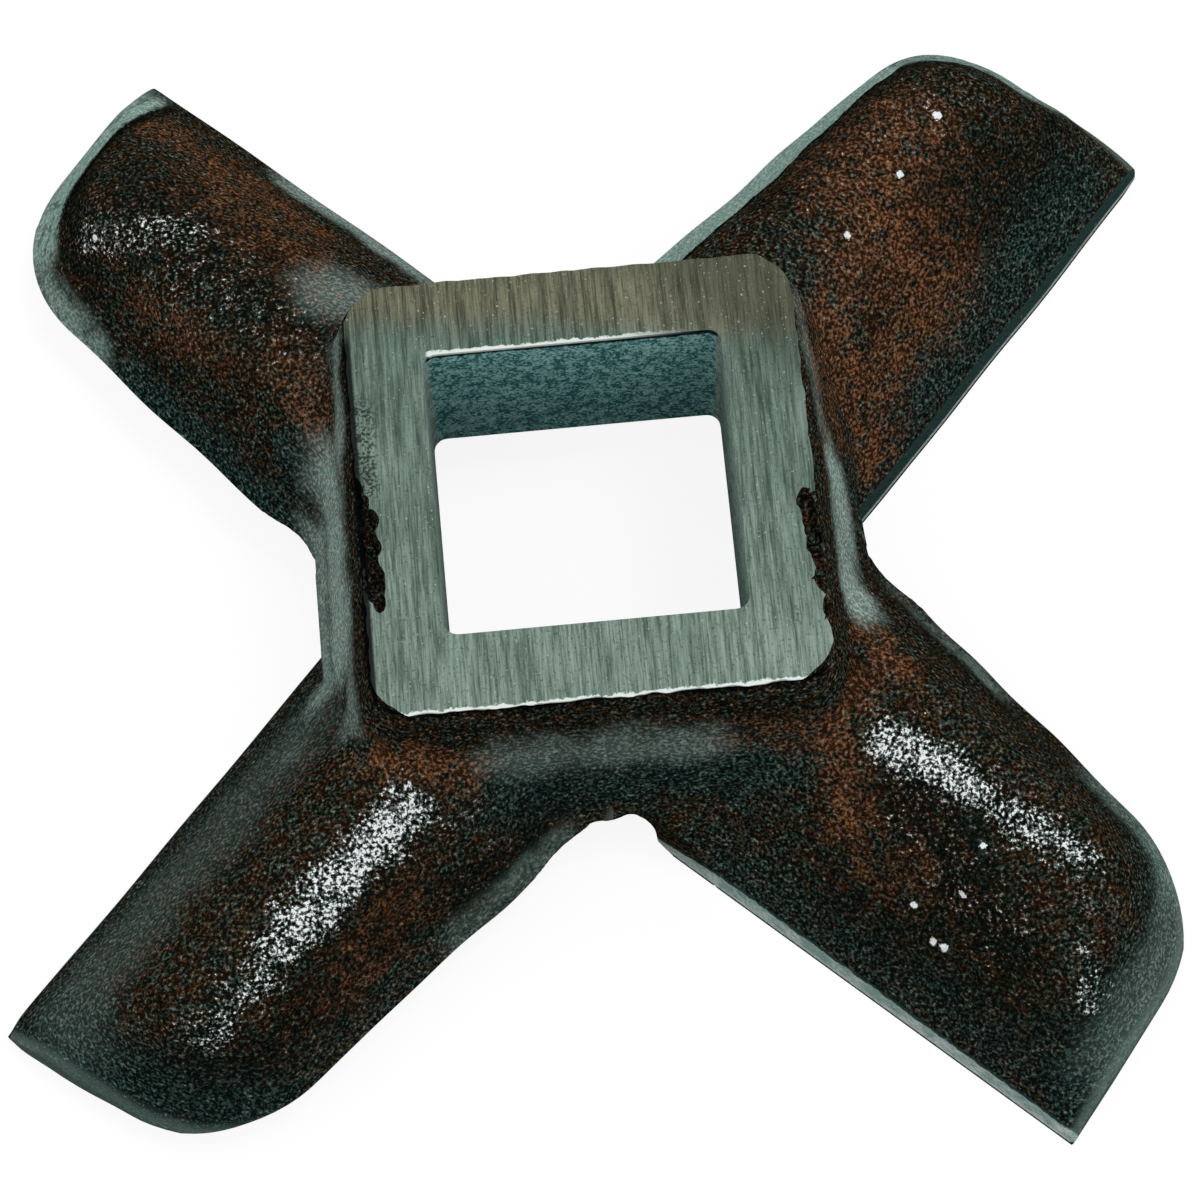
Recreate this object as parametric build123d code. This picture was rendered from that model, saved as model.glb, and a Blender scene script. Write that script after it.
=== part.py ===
from build123d import *
import math
import os

os.makedirs("parts", exist_ok=True)

# Meat grinder knife: a square boss with four cast arms, all one piece.
# Origin: centre of the square hole, on the plane of the cutting edges. The boss points up along +Z.
# The hole's sides run along X and Y, and the arms leave the boss's corners on the diagonals.

# Boss
hole_side = 12.7
hole_corner = 0.6
boss_wall = 3.175
boss_corner = 1.7
knife_height = 12.9
boss_underside = 3.85
boss_flare = 2.475
recess_margin = 0.2

# Arm in plan. Each side is a straight line: the angle of its outward normal from the arm's centre line,
# and its distance from the knife's axis.
arm_count = 4
first_arm_angle = 45.0
cutting_angle = -87.75
cutting_reach = 7.65
trailing_angle = 83.55
trailing_reach = 8.74
end_angle = 5.8
end_reach = 31.1
corner_radius = 6.8
web_radius = 2.0

# Arm in section, measured inward and upward from the cutting edge
facet_run = 0.3
facet_rise = 0.95
crown_inward = 8.4
crown_drop = 3.4
crown_fall = 1.9
flank_draft = 30.5
flank_foot = 1.9
trailing_rise = 3.05
land_width = 3.2

# Dome's curve, as shares of its run and rise: steep off the edge, level at the crown, steep again behind
steep_run = 0.32
steep_rise = 0.55
level_run = 0.38
back_run = 0.74
back_rise = 0.2

# Rounding of the arms' top edges, at most these shares of the trailing flank's height
# and of the corner's radius where the top meets it
crest_radius = 2.0
flank_share = 0.53
corner_share = 0.6

cutting_side = (cutting_angle, cutting_reach)
trailing_side = (trailing_angle, trailing_reach)
outer_end = (end_angle, end_reach)
web_side_angle = first_arm_angle
next_web_angle = web_side_angle + 90
boss_side = hole_side + 2 * boss_wall
web_reach = boss_side / 2 + boss_flare
flank_lean = math.tan(math.radians(flank_draft))
boss_lean = boss_flare / (knife_height - boss_underside)
crown_at_boss = knife_height - crown_drop
crown_at_tip = crown_at_boss - crown_fall
corner_at_crest = corner_radius - (crown_at_tip - flank_foot) * flank_lean
flank_height = crown_at_tip - trailing_rise
crest_rounding = min(crest_radius, flank_share * flank_height, corner_share * corner_at_crest)
arm_start = hole_side / 3
past_end = corner_radius


def meet(first, second):
    """Point where two plan lines cross."""
    a, d = math.radians(first[0]), first[1]
    b, e = math.radians(second[0]), second[1]
    sine = math.sin(b - a)
    return ((d * math.sin(b) - e * math.sin(a)) / sine, (e * math.cos(a) - d * math.cos(b)) / sine)


def moved_out(line, step):
    """The same plan line, further from the axis."""
    return (line[0], line[1] + step)


tip = meet(cutting_side, outer_end)
tip_along = math.sqrt(math.hypot(*tip) ** 2 - cutting_reach ** 2)
across_middle = (0.0, (web_reach + end_reach) / 2)
mid_width = meet(trailing_side, across_middle)[1] - meet(cutting_side, across_middle)[1]
crown_slope = crown_fall / (tip_along - web_reach)
crown_inside = crown_at_boss + crown_slope * (web_reach - arm_start)


def section_plane(along):
    """Upright plane across the cutting edge: X runs inward from the edge and Y runs up."""
    normal = math.radians(cutting_angle)
    outward = Vector(math.cos(normal), math.sin(normal), 0)
    edge_way = Vector(-math.sin(normal), math.cos(normal), 0)
    origin = outward * cutting_reach + edge_way * along
    return Plane(origin=origin, x_dir=outward * -1, z_dir=edge_way)


def arm_block():
    """Arm outline raised with drafted flanks. It runs past the cutting edge, which is shaped afterwards."""
    beyond = moved_out(cutting_side, crown_inside * flank_lean)
    foot_trailing = moved_out(trailing_side, (trailing_rise - flank_foot) * flank_lean)
    foot_web = (web_side_angle, web_reach + (boss_underside - flank_foot) * flank_lean)
    corner = meet(outer_end, foot_trailing)
    web = meet(foot_trailing, foot_web)
    inside = [meet(foot_web, (next_web_angle, arm_start)), meet(beyond, (180.0, -arm_start))]
    outline = make_face(Polyline(*inside, meet(beyond, outer_end), corner, web, close=True))
    for point, radius in ((corner, corner_radius), (web, web_radius)):
        outline = fillet(outline.vertices().sort_by_distance((*point, 0))[0], radius)
    foot = extrude(outline, flank_foot)
    return foot + extrude(Pos(0, 0, flank_foot) * outline, crown_inside - flank_foot, taper=flank_draft)


def dome_section(along, crown):
    """Arm section: a ground facet at the edge, then a dome that rises to the crown and falls behind it."""
    run, rise = crown_inward - facet_run, crown - facet_rise
    top = (crown_inward, crown)
    front = Bezier(
        (facet_run, facet_rise),
        (facet_run + steep_run * run, facet_rise + steep_rise * rise),
        (crown_inward - level_run * run, crown),
        top,
    )
    back = Bezier(
        top,
        (crown_inward + level_run * run, crown),
        (crown_inward + back_run * run, facet_rise + steep_rise * rise),
        (crown_inward + run, facet_rise + back_rise * rise),
    )
    behind = (back @ 1).X
    base = Polyline(back @ 1, (behind, 0), (0, 0), (facet_run, facet_rise))
    return section_plane(along) * make_face([*front.edges(), *back.edges(), *base.edges()])


def dome():
    """Everything under an arm's top surface, from inside the boss to past the tip."""
    far = tip_along + past_end
    crown_far = crown_at_tip - crown_slope * past_end
    return loft([dome_section(arm_start, crown_inside), dome_section(far, crown_far)], ruled=True)


def relief():
    """Space under an arm behind its land. It opens towards the trailing side."""
    reach = 2 * mid_width
    rise = reach * trailing_rise / (mid_width - land_width)
    wedge = Pos(land_width, 0) * make_face(Polyline((0, 0), (reach, 0), (reach, rise), close=True))
    return extrude(section_plane(0) * wedge, 2 * tip_along, both=True)


def boss():
    """Square boss with leaning walls, its underside above the cutting plane."""
    base = make_face(RectangleRounded(2 * web_reach, 2 * web_reach, boss_corner + boss_flare).edges())
    lean = math.degrees(math.atan(boss_lean))
    return Pos(0, 0, boss_underside) * extrude(base, knife_height - boss_underside, taper=lean)


def outside_boss(point):
    """Distance of a point from the boss's leaning walls, positive outside."""
    return max(abs(point.X), abs(point.Y)) - web_reach + (point.Z - boss_underside) * boss_lean


def crest_edges(body):
    """Edges outside the boss where the arms' domed tops meet their drafted flanks."""
    domed = {e for face in body.faces().filter_by(GeomType.BSPLINE) for e in face.edges()}
    drafted = [face for face in body.faces() if face.geom_type in (GeomType.PLANE, GeomType.CONE)]
    shared = [e for face in drafted for e in face.edges() if e in domed]
    return [e for e in shared if (e @ 0.5).Z > boss_underside and outside_boss(e @ 0.5) > crest_rounding]


def knife():
    """The whole casting."""
    arm = (arm_block() & dome()) - relief()
    body = boss()
    for k in range(arm_count):
        body += Rot(0, 0, first_arm_angle + k * 360 / arm_count) * arm
    body = body.solids()[0]
    body = body.fillet(crest_rounding, crest_edges(body))
    recess = extrude(Circle(web_reach + recess_margin), boss_underside)
    hole = extrude(RectangleRounded(hole_side, hole_side, hole_corner), knife_height)
    return (body - recess - hole).solids()[0]


if __name__ == "__main__":
    export_step(knife(), "parts/grinder_knife.step")
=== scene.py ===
import math
import random

import bmesh
import bpy
import numpy as np
from mathutils import Matrix, Vector, bvhtree, kdtree, noise


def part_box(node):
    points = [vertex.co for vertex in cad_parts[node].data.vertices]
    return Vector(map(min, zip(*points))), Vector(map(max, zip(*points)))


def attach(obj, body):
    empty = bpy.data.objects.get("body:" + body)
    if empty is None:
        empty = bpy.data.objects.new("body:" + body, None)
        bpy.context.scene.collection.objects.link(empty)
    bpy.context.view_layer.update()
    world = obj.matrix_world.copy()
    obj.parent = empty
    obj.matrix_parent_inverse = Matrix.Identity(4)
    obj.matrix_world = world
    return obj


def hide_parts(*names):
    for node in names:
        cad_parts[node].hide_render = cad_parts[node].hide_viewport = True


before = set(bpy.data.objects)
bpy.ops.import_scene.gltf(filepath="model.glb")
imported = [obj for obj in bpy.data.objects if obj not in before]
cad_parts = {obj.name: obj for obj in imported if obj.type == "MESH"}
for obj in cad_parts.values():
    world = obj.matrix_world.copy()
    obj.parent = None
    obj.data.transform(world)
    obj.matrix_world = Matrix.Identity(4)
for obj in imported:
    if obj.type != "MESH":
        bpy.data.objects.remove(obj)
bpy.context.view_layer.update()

mm = 0.001
node_name = "grinder_knife"
lowest, highest = (Vector(corner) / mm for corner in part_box(node_name))
top = highest.z

# Places on the casting, in millimetres in the part's own frame
hole_half = 6.35
face_half = 9.525
web_half = 12.0
web_height = 3.85

# An arm's sides in plan: the outward way in degrees from the arm's middle, and the reach from the axis
cutting_way = -87.75
cutting_reach = 7.65
trailing_way = 83.55
trailing_reach = 8.74
end_way = 5.8
end_reach = 31.1
corner_radius = 6.8

# The arms' drafted flanks
flank_lean = math.tan(math.radians(30.5))
flank_foot = 1.9
trailing_rise = 3.05
facet_run = 0.3

# Mesh fineness: lengths in millimetres, angles in degrees
voxel = 0.17
line_spacing = 0.04
most_triangles = 190000
box_margin = 2e-4
hard_angle = 28
smooth_angle = 40
solid_merge = 0.002
mesh_merge = 0.012
mesh_sliver = 0.004

# Distance from a hard line, in voxels, at which a point of the even mesh sits on it or is looked at
on_line = 0.4
near_line = 2

# Smoothing passes and their factor
smooth_factor = 0.5
cast_passes = 10
root_passes = 60

# The four finishes, in the order in which the casting carries them
skin_slot, face_slot, wall_slot, land_slot = range(4)


# Mesh work


def work_on(piece):
    """Only this piece is selected and active."""
    bpy.ops.object.select_all(action="DESELECT")
    piece.select_set(True)
    bpy.context.view_layer.objects.active = piece


def finish_with(piece, kind, **settings):
    """Adds a modifier, sets it and applies it."""
    work_on(piece)
    modifier = piece.modifiers.new(kind.lower(), kind)
    for name, value in settings.items():
        setattr(modifier, name, value)
    bpy.ops.object.modifier_apply(modifier=modifier.name)


def read_points(piece, what="co"):
    """Vertex places in millimetres, or vertex normals."""
    flat = np.empty(len(piece.data.vertices) * 3)
    piece.data.vertices.foreach_get(what, flat)
    values = flat.reshape(-1, 3)
    return values / mm if what == "co" else values


def write_points(piece, places):
    """Writes vertex places back, from millimetres."""
    piece.data.vertices.foreach_set("co", (places * mm).ravel())
    piece.data.update()


def weigh(piece, name, weights, steps=24):
    """A vertex group with these weights, in even steps."""
    group = piece.vertex_groups.new(name=name)
    level = np.rint(np.clip(weights, 0, 1) * steps).astype(int)
    for step in range(1, steps + 1):
        chosen = np.flatnonzero(level == step)
        if len(chosen):
            group.add([int(k) for k in chosen], step / steps, "REPLACE")


def ramp(value, start, end):
    """0 before start, 1 after end, and an even turn between them."""
    share = np.clip((value - start) / (end - start), 0, 1)
    return share * share * (3 - 2 * share)


def rough(places, size, seed=0.0, octaves=2):
    """Soft noise over the surface, about -1 to 1, with lumps of this size in millimetres."""
    shift = Vector((seed, seed * 1.7, seed * 2.3))
    return np.array([noise.fractal(Vector(p) / size + shift, 1.0, 2.0, octaves) for p in places])


def square_reach(places):
    """Distance from the axis along X or Y, whichever is more."""
    return np.maximum(np.abs(places[:, 0]), np.abs(places[:, 1]))


def wall_distance(places):
    """Distance out from the boss's leaning walls, in millimetres."""
    lean = (web_half - face_half) / (top - web_height)
    return square_reach(places) - web_half + (places[:, 2] - web_height) * lean


def plan_gap(places, turn, way, reach):
    """Distance inside one side of an arm, seen from above."""
    angle = np.radians(turn + way)
    return reach - places[:, 0] * np.cos(angle) - places[:, 1] * np.sin(angle)


# Where the casting strays from its drawn outline: place seen from above, reach around it, and the move
outline_shifts = [
    ((13.4, -1.8), 2.2, (0.34, 0.27)), ((14.7, -2.8), 1.8, (0.22, 0.18)),
    ((16.4, -5.8), 2.4, (0.28, 0.22)), ((19.6, -9.4), 2.4, (0.20, 0.16)),
    ((25.6, -15.6), 2.4, (-0.16, 0.06)), ((-2.0, -12.4), 1.8, (0.20, -0.26)),
    ((-5.0, -14.6), 2.4, (0.20, -0.26)), ((-8.6, -18.0), 2.2, (0.04, -0.05)),
    ((-20.3, -24.0), 2.2, (0.04, 0.24)), ((-16.8, -23.3), 1.8, (-0.06, 0.10)),
    ((-22.6, -22.3), 1.8, (0.08, 0.12)), ((-25.2, -20.0), 1.8, (0.05, 0.07)),
    ((-27.2, -18.0), 0.9, (0.25, 0.02)), ((-15.0, -8.0), 3.5, (0.06, -0.05)),
    ((-21.0, -13.0), 3.5, (0.06, -0.05)), ((17.6, 24.2), 2.6, (0.02, 0.34)),
    ((14.0, 22.8), 1.8, (0.18, -0.20)), ((11.6, 21.0), 2.0, (0.12, -0.15)),
    ((8.4, 17.2), 2.4, (0.14, -0.18)), ((5.4, 13.8), 2.2, (0.03, -0.04)),
    ((22.8, 21.8), 1.8, (-0.08, -0.10)), ((25.4, 19.6), 2.0, (-0.20, -0.24)),
    ((13.5, 2.5), 2.5, (0.05, -0.05)), ((17.0, 6.0), 3.5, (0.08, -0.08)),
    ((22.0, 12.0), 3.5, (0.09, -0.08)), ((-14.0, 5.2), 2.6, (-0.12, -0.10)),
    ((-19.0, 9.4), 2.8, (-0.15, -0.12)), ((-24.4, 14.0), 2.4, (-0.12, -0.08)),
    ((-24.2, 17.5), 2.6, (-0.14, -0.05)), ((-19.0, 25.6), 1.2, (0.08, -0.06)),
    ((-14.0, 23.5), 3.5, (0.06, 0.07)), ((-8.0, 18.0), 3.5, (0.07, 0.08)),
]
# How far along X the upper right arm's broken tip reaches
tip_end = 26.82


def outline_shift(places):
    """How far each point moves sideways with the casting's real outline."""
    beyond_boss = ramp(square_reach(places), 10.8, 12.4)
    move = np.zeros_like(places)
    for (x, y), reach, (along_x, along_y) in outline_shifts:
        share = np.exp(-((places[:, 0] - x) ** 2 + (places[:, 1] - y) ** 2) / reach ** 2) * beyond_boss
        move[:, 0] += share * along_x
        move[:, 1] += share * along_y
    return move


def arm_gaps(places):
    """For the arm in each point's quarter: distance in from its cutting edge and from its other sides."""
    places = places - outline_shift(places)
    turn = np.floor(np.degrees(np.arctan2(places[:, 1], places[:, 0])) / 90) * 90 + 45
    cut = plan_gap(places, turn, cutting_way, cutting_reach)
    trail = plan_gap(places, turn, trailing_way, trailing_reach + (trailing_rise - flank_foot) * flank_lean)
    end = plan_gap(places, turn, end_way, end_reach)
    spread = math.radians(trailing_way - end_way)
    a, b = corner_radius - end, corner_radius - trail
    past_both = (a > b * math.cos(spread)) & (b > a * math.cos(spread))
    from_centre = np.sqrt(a * a + b * b - 2 * a * b * math.cos(spread)) / math.sin(spread)
    outline = np.where(past_both, corner_radius - from_centre, np.minimum(trail, end))
    return cut, outline


def merged_copy():
    """The knife's solid as one closed mesh."""
    piece = bpy.data.objects.new("knife_casting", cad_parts[node_name].data.copy())
    bpy.context.scene.collection.objects.link(piece)
    work_on(piece)
    bpy.ops.object.mode_set(mode="EDIT")
    bpy.ops.mesh.select_all(action="SELECT")
    bpy.ops.mesh.remove_doubles(threshold=solid_merge * mm)
    bpy.ops.object.mode_set(mode="OBJECT")
    return piece


def hard_line_points(piece):
    """A search tree of points along the solid's hard outer edges, in millimetres."""
    solid = bmesh.new()
    solid.from_mesh(piece.data)
    points = []
    for edge in solid.edges:
        if len(edge.link_faces) == 2 and edge.calc_face_angle_signed(0) > math.radians(hard_angle):
            a, b = (vert.co / mm for vert in edge.verts)
            count = max(2, math.ceil((b - a).length / line_spacing) + 1)
            points += [a.lerp(b, k / (count - 1)) for k in range(count)]
    solid.free()
    tree = kdtree.KDTree(len(points))
    for k, point in enumerate(points):
        tree.insert(point, k)
    tree.balance()
    return tree


# Casting faults at the rim of the ground face: a place, and the half width of the hole there
west_void = [
    ((-9.45, 0.5), 0.24), ((-9.32, -0.2), 0.34), ((-9.18, -0.9), 0.46), ((-9.20, -1.6), 0.40),
    ((-9.10, -2.2), 0.44), ((-9.12, -2.9), 0.34), ((-9.05, -3.5), 0.42), ((-9.05, -4.1), 0.36),
    ((-8.98, -4.6), 0.28),
]
east_void = [
    ((9.05, -1.5), 0.20), ((9.15, -2.0), 0.34), ((9.30, -2.6), 0.44), ((9.36, -3.2), 0.46),
    ((9.34, -3.8), 0.44), ((9.42, -4.4), 0.38), ((9.44, -5.0), 0.30), ((9.50, -5.7), 0.24),
    ((9.50, -6.5), 0.22), ((9.56, -7.3), 0.19),
]
west_seed, east_seed = 3, 8
# A void's half depth, as a multiple of its half width
void_depth = 2.6


def void_cutter(line, seed):
    """A chain of rough lumps that leaves a ragged hole when it is taken away."""
    draw = random.Random(seed)
    bpy.ops.object.select_all(action="DESELECT")
    for k, ((x, y), half) in enumerate(line):
        place = Vector((x + draw.uniform(-0.06, 0.06), y, top - 0.1)) * mm
        shape = (half * mm, draw.uniform(0.5, 0.62) * mm, half * void_depth * mm)
        spin = (draw.uniform(-0.15, 0.15), draw.uniform(-0.15, 0.15), draw.uniform(-0.7, 0.7))
        bpy.ops.mesh.primitive_ico_sphere_add(
            subdivisions=2, radius=1, location=place, rotation=spin, scale=shape,
        )
        if k == 0:
            cutter = bpy.context.object
            bpy.ops.object.transform_apply(location=True, rotation=True, scale=True)
            bpy.ops.object.mode_set(mode="EDIT")
    bpy.ops.object.mode_set(mode="OBJECT")
    return cutter


def open_voids(piece):
    """Two ragged voids open at the rims of the ground face."""
    for line, seed in ((west_void, west_seed), (east_void, east_seed)):
        cutter = void_cutter(line, seed)
        finish_with(piece, "BOOLEAN", operation="DIFFERENCE", object=cutter, solver="EXACT", use_self=True)
        bpy.data.objects.remove(cutter)


# Cast metal that fills the corner where the lower right arm's edge meets the boss's foot:
# four corners below and the four above them, anticlockwise from above
edge_root = [
    ((1.52, -11.82, 0.0), (4.09, -14.20, 0.0), (6.5, -12.0, 0.0), (2.6, -11.5, 0.0)),
    ((1.55, -11.90, 3.9), (4.29, -13.98, 0.95), (6.5, -12.0, 4.6), (2.6, -11.5, 4.6)),
]
under_root = [
    ((0.65, -11.95, 3.84), (1.6, -11.93, 1.3), (1.6, -11.0, 1.3), (0.65, -11.0, 3.84)),
    ((0.65, -11.95, 4.2), (1.6, -11.93, 4.2), (1.6, -11.0, 4.2), (0.65, -11.0, 4.2)),
]


def fill_root(piece):
    """Two blocks of metal join the lower right arm's root."""
    corner_order = [(False, False), (True, False), (True, True), (False, True)]
    for low, high in (edge_root, under_root):
        bpy.ops.object.select_all(action="DESELECT")
        bpy.ops.mesh.primitive_cube_add(size=2)
        block = bpy.context.object
        for vert in block.data.vertices:
            corner = corner_order.index((vert.co.x > 0, vert.co.y > 0))
            vert.co = Vector((high if vert.co.z > 0 else low)[corner]) * mm
        finish_with(block, "TRIANGULATE")
        finish_with(piece, "BOOLEAN", operation="UNION", object=block, solver="EXACT")
        bpy.data.objects.remove(block)


def pull_onto_lines(piece, pattern, lines):
    """Where an edge of the even mesh would cut across a hard line, one end of it moves onto the line."""
    places = read_points(piece)
    found = [lines.find(place) for place in places]
    spots = np.array([spot for spot, _, _ in found])
    gaps = np.array([gap for _, _, gap in found])
    held = gaps < on_line * voxel
    near = gaps < near_line * voxel
    corners = [vert.co / mm for vert in pattern.data.vertices]
    sides = [tuple(face.vertices) for face in pattern.data.polygons]
    solid = bvhtree.BVHTree.FromPolygons(corners, sides)
    facing = np.zeros_like(places)
    for k in np.flatnonzero(near):
        facing[k] = solid.find_nearest(places[k])[1]
    ends = np.empty(len(piece.data.edges) * 2, dtype=np.int32)
    piece.data.edges.foreach_get("vertices", ends)
    ends = ends.reshape(-1, 2)
    ends = ends[near[ends].all(axis=1)]
    alike = (facing[ends[:, 0]] * facing[ends[:, 1]]).sum(axis=1)
    turned = alike < math.cos(math.radians(hard_angle))
    for a, b in ends[turned]:
        if not (held[a] or held[b]):
            held[a if gaps[a] < gaps[b] else b] = True
    places[held] = spots[held]
    write_points(piece, places)


def divide_evenly(piece, lines):
    """An even mesh that keeps the solid's faces flat and its hard edges sharp."""
    pattern = piece.copy()
    pattern.data = piece.data.copy()
    bpy.context.scene.collection.objects.link(pattern)
    finish_with(piece, "REMESH", mode="VOXEL", voxel_size=voxel * mm)
    finish_with(piece, "TRIANGULATE")
    finish_with(piece, "SHRINKWRAP", target=pattern, wrap_method="NEAREST_SURFACEPOINT")
    pull_onto_lines(piece, pattern, lines)
    bpy.data.objects.remove(pattern)
    work_on(piece)
    bpy.ops.object.mode_set(mode="EDIT")
    bpy.ops.mesh.select_all(action="SELECT")
    bpy.ops.mesh.remove_doubles(threshold=mesh_merge * mm)
    bpy.ops.mesh.dissolve_degenerate(threshold=mesh_sliver * mm)
    bpy.ops.mesh.quads_convert_to_tris()
    bpy.ops.object.mode_set(mode="OBJECT")


# Where the metal that fills the lower right arm's root is smoothed into the rest
fill_middle = (3.6, -12.2, 3.4)
fill_reach = 1.9
# Corners between neighbouring arms that the casting rounds: place seen from above, and reach
web_corners = [
    ((-12.3, 2.6), 1.1), ((-2.4, -12.2), 1.1), ((12.3, -2.6), 1.0), ((2.6, 12.3), 1.1), ((1.2, -11.9), 0.7),
]
# How far the hollow blends reach from the boss's walls
blend_reach = 1.3


def soften(piece, line_gap):
    """Cast surfaces lose their facets, and the arms run into the boss in hollow blends."""
    places = read_points(piece)
    z = places[:, 2]
    reach = square_reach(places)
    cast = ramp(line_gap, 0.1, 0.5) * ramp(z, 0.05, 0.4)
    cast = cast * ramp(reach, hole_half + 0.1, hole_half + 0.3) * ramp(top - z, 0.05, 0.3)
    weigh(piece, "cast", cast)
    finish_with(piece, "SMOOTH", factor=smooth_factor, iterations=cast_passes, vertex_group="cast")
    gap = wall_distance(places)
    near_root = np.exp(-(gap / blend_reach) ** 2) * ramp(top - z, 1.5, 2.6) * ramp(z, 3.9, 4.6)
    from_fill = ((places - np.array(fill_middle)) ** 2).sum(axis=1)
    filled = np.exp(-from_fill / fill_reach ** 2) * ramp(line_gap, 0.05, 0.4)
    for (x, y), corner_reach in web_corners:
        apart = np.hypot(places[:, 0] - x, places[:, 1] - y)
        filled = np.maximum(filled, np.exp(-(apart / corner_reach) ** 2) * ramp(reach, 10.6, 11.4))
    weigh(piece, "root", np.maximum(near_root, filled))
    finish_with(piece, "SMOOTH", factor=smooth_factor, iterations=root_passes, vertex_group="root")
    piece.vertex_groups.clear()


# Lumps and dents in the skin: place seen from above, radius, and height out of the skin
skin_marks = [
    ((13.0, -19.1), 0.75, 0.30), ((12.6, -19.5), 1.3, -0.16), ((14.3, -17.4), 0.55, 0.22),
    ((13.6, -17.2), 0.9, -0.22), ((15.0, -16.8), 1.5, 0.14), ((15.9, -17.2), 0.8, -0.25),
    ((12.0, -17.9), 0.6, 0.16), ((11.7, -18.8), 1.1, 0.12), ((13.2, -15.8), 1.0, -0.12),
    ((16.0, -15.4), 0.7, 0.12), ((10.7, -12.6), 0.6, 0.10), ((14.9, -14.7), 0.8, -0.10),
    ((-15.0, 15.6), 0.55, -0.24), ((-12.5, 13.6), 0.60, -0.30), ((-11.7, 10.3), 0.45, -0.22),
    ((-12.4, 8.9), 0.45, -0.24), ((-13.4, 15.9), 0.5, -0.16), ((-10.5, 13.3), 0.9, -0.14),
    ((-17.9, 12.0), 0.9, 0.12), ((-16.4, 9.9), 0.8, 0.10), ((-11.3, 13.0), 0.45, -0.18),
    ((14.3, 14.0), 0.9, -0.12), ((16.6, 16.6), 0.6, 0.12), ((12.1, 12.6), 0.7, 0.10),
    ((-13.4, -16.6), 0.8, 0.08), ((-16.5, -19.6), 0.7, -0.10), ((-10.5, -14.0), 0.7, 0.08),
]


# Unevenness of the whole skin: size of its lumps, their height, the noise's seed and its octaves
skin_waves = [(4.0, 0.10, 3, 2), (1.3, 0.045, 9, 2), (0.5, 0.035, 5, 1)]
mark_steepness = 2.2


def texture_skin(piece, line_gap):
    """The sand-cast skin: low waves, lumps, single marks, and the grain's larger beads."""
    places, out = read_points(piece), read_points(piece, "normal")
    z = places[:, 2]
    reach = square_reach(places)
    cast = ramp(z, 0.9, 2.0) * ramp(reach, hole_half + 0.05, hole_half + 0.2) * ramp(top - z, 0.02, 0.15)
    move = sum(height * rough(places, size, seed, octaves) for size, height, seed, octaves in skin_waves)
    for (x, y), radius, height in skin_marks:
        apart = np.hypot(places[:, 0] - x, places[:, 1] - y) / radius
        move += np.where(z > web_height, height * np.exp(-mark_steepness * apart ** 2), 0)
    move *= cast * ramp(line_gap, 0.0, 0.6)
    write_points(piece, places + out * move[:, None])


# Burr on the north, south and side rims: how far it stands out where it is even, and what raggedness adds
north_lip, south_lip, side_lip = (0.12, 0.10), (0.06, 0.20), (-0.06, 0.16)
# Hollow under it, in the walls to the north and south and in the side walls
end_hollow, side_hollow = 0.12, 0.14


def lip_width(lip, ragged):
    """How far the burr stands out at each point."""
    even, added = lip
    return even + added * ragged


def raise_burr(piece):
    """Grinding pushed a thin ragged lip over the face's rims, with a hollow in the walls under it."""
    places = read_points(piece)
    x, y, z = places.T
    ragged = 0.5 + 0.5 * rough(places, size=0.7, seed=21)
    at_top = ramp(z, top - 0.30, top - 0.02)
    reach = np.maximum(np.abs(x), np.abs(y))
    at_rim = ramp(reach, face_half - 0.25, face_half - 0.02) * at_top
    south = np.where((-y > np.abs(x) - 0.8) & (y < 0), 1.0, 0.0)
    north = np.where(y > np.abs(x), 1.0, 0.0)
    places[:, 1] += at_rim * north * lip_width(north_lip, ragged)
    places[:, 1] -= at_rim * south * lip_width(south_lip, ragged)
    sideways = np.where(np.abs(x) > np.abs(y), np.sign(x), 0.0)
    places[:, 0] += at_rim * sideways * lip_width(side_lip, ragged)
    under = ramp(z, top - 0.95, top - 0.55) * ramp(top - z, 0.28, 0.42)
    under = under * ramp(reach, face_half - 0.1, face_half)
    places[:, 0] -= under * np.where(np.abs(x) > np.abs(y), np.sign(x), 0) * side_hollow
    places[:, 1] -= under * np.where(np.abs(y) >= np.abs(x), np.sign(y), 0) * end_hollow
    write_points(piece, places)


def keep_inside_box(piece):
    """The upper right arm's tip is broken off square, and nothing leaves the solid's box."""
    places = read_points(piece)
    places[:, 0] = np.minimum(places[:, 0], tip_end)
    places = np.clip(places, np.array(lowest) + box_margin, np.array(highest) - box_margin)
    write_points(piece, places)


def knife_casting():
    """The whole casting as one even mesh."""
    piece = merged_copy()
    fill_root(piece)
    open_voids(piece)
    lines = hard_line_points(piece)
    divide_evenly(piece, lines)
    line_gap = np.array([lines.find(place)[2] for place in read_points(piece)])
    soften(piece, line_gap)
    texture_skin(piece, line_gap)
    places = read_points(piece)
    write_points(piece, places + outline_shift(places))
    raise_burr(piece)
    count = len(piece.data.polygons)
    if count > most_triangles:
        finish_with(piece, "DECIMATE", ratio=most_triangles / count)
    keep_inside_box(piece)
    work_on(piece)
    bpy.ops.object.shade_smooth_by_angle(angle=math.radians(smooth_angle))
    return piece


# Shader work


def tone(code):
    """A colour code as the shader's linear values."""
    parts = [int(code[k:k + 2], 16) / 255 for k in (1, 3, 5)]
    return [p / 12.92 if p <= 0.04045 else ((p + 0.055) / 1.055) ** 2.4 for p in parts] + [1.0]


def put(tree, kind, values=None, out=0, **settings):
    """Adds a shader node. Values go to its inputs by name or place, as numbers or as links."""
    made = tree.nodes.new("ShaderNode" + kind)
    for name, value in settings.items():
        setattr(made, name, value)
    for key, value in (values or {}).items():
        if isinstance(value, bpy.types.NodeSocket):
            tree.links.new(value, made.inputs[key])
        else:
            made.inputs[key].default_value = value
    return made.outputs if out is None else made.outputs[out]


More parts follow.
